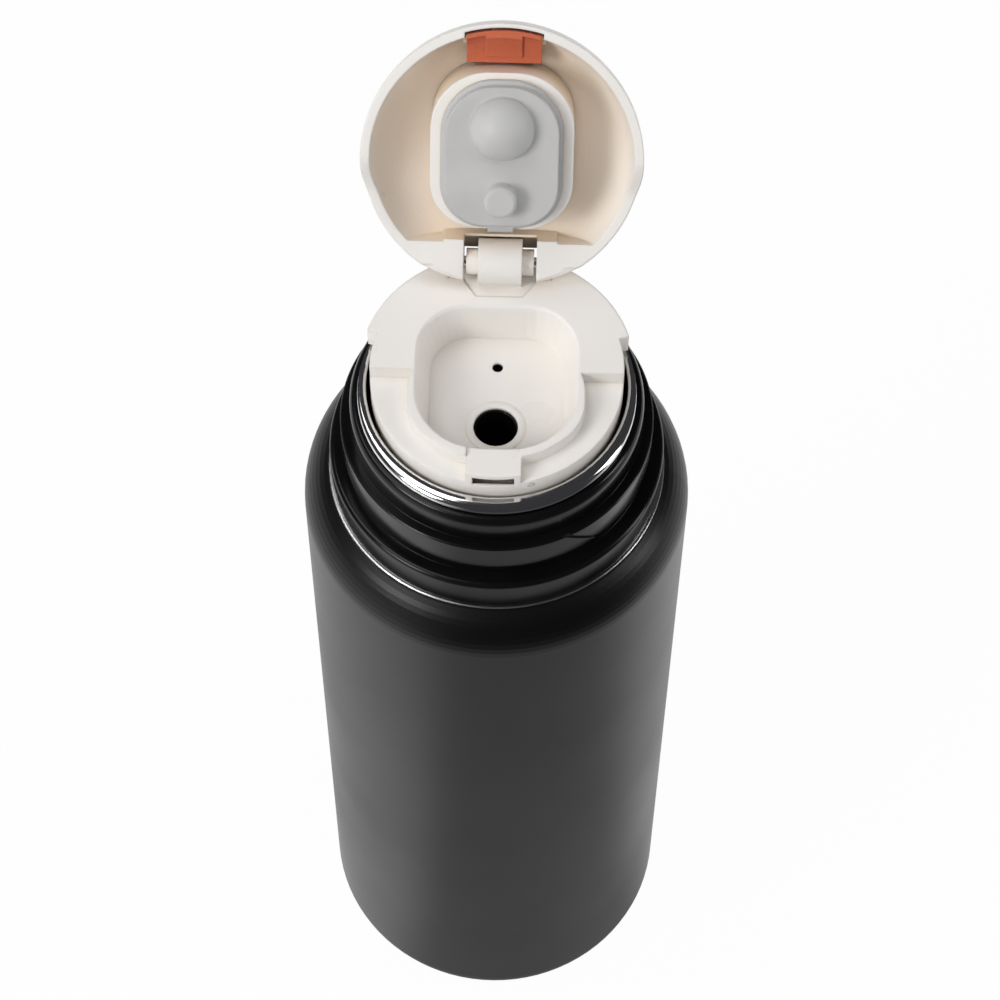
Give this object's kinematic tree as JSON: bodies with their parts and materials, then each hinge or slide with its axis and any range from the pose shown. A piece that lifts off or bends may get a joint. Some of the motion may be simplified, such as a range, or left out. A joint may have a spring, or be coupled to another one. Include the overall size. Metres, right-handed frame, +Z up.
{
  "type": "vacuum flask with flip-cap stopper",
  "caption": "Double-walled steel vacuum flask, coated black, with a threaded black collar for a cup and a cream screw-in pouring stopper, its flip cap standing open.",
  "frame": {"origin": "centre of the flat bottom edge the flask stands on", "axes": "+Z up along the bottle axis, -Y towards the pouring side and the latch catch, +Y towards the hinge of the flip cap, +X to the right seen from the pouring side"},
  "size_m": [0.096, 0.1113, 0.3311],
  "materials": {
    "black_coat": "satin powder coat",
    "polished_steel": "mirror polished stainless steel",
    "brushed_steel": "brushed stainless steel",
    "black_plastic": "semi-gloss",
    "black_rubber": "matte",
    "copper_foil": "copper-coloured heat-reflecting foil",
    "getter_metal": "sintered, matte",
    "cream_plastic": "soft gloss",
    "white_foam": "matte foam",
    "grey_silicone": "matte silicone",
    "terracotta_plastic": "soft gloss"
  },
  "bodies": {
    "flask": {"outer_shell": "black_coat", "shoulder_ring": "polished_steel", "cup_collar": "black_plastic", "collar_seal": "black_rubber", "inner_liner": "polished_steel", "heat_foil": "copper_foil", "base_plate": "brushed_steel", "base_cover": "brushed_steel", "vacuum_plug": "brushed_steel", "getter": "getter_metal"},
    "neck_seal": {"neck_gasket": "grey_silicone"},
    "stopper": {"stopper_top": "cream_plastic", "plug_body": "cream_plastic", "plug_foam": "white_foam", "spout_tube": "black_plastic", "vent_tube": "black_plastic", "hinge_pin": "polished_steel"},
    "cap": {"cap_shell": "cream_plastic", "seal_holder": "cream_plastic", "cap_seal": "grey_silicone", "latch_pin": "polished_steel"},
    "latch": {"latch_button": "terracotta_plastic", "latch_spring": "polished_steel"}
  },
  "joints": [
    {"name": "stopper_lift", "type": "slide", "parent": "flask", "child": "neck_seal", "axis": [0, 0, 1], "range_m": [0, 0.012]},
    {"name": "stopper_turn", "type": "hinge", "parent": "neck_seal", "child": "stopper", "pos_m": [0, 0, 0.25], "axis": [0, 0, 1], "range_deg": [0, 720]},
    {"name": "cap_hinge", "type": "hinge", "parent": "stopper", "child": "cap", "pos_m": [0, 0.0268, 0.2784], "axis": [1, 0, 0], "range_deg": [0, 127]},
    {"name": "latch_press", "type": "hinge", "parent": "cap", "child": "latch", "pos_m": [0, 0.05958, 0.32157], "axis": [-1, 0, 0], "range_deg": [0, 5], "stiffness_Nm_per_rad": 0.08, "springref_deg": -14.9}
  ],
  "couplings": [
    {"joint": "stopper_lift", "follows": "stopper_turn", "m_per_rad": 0.00095493}
  ]
}
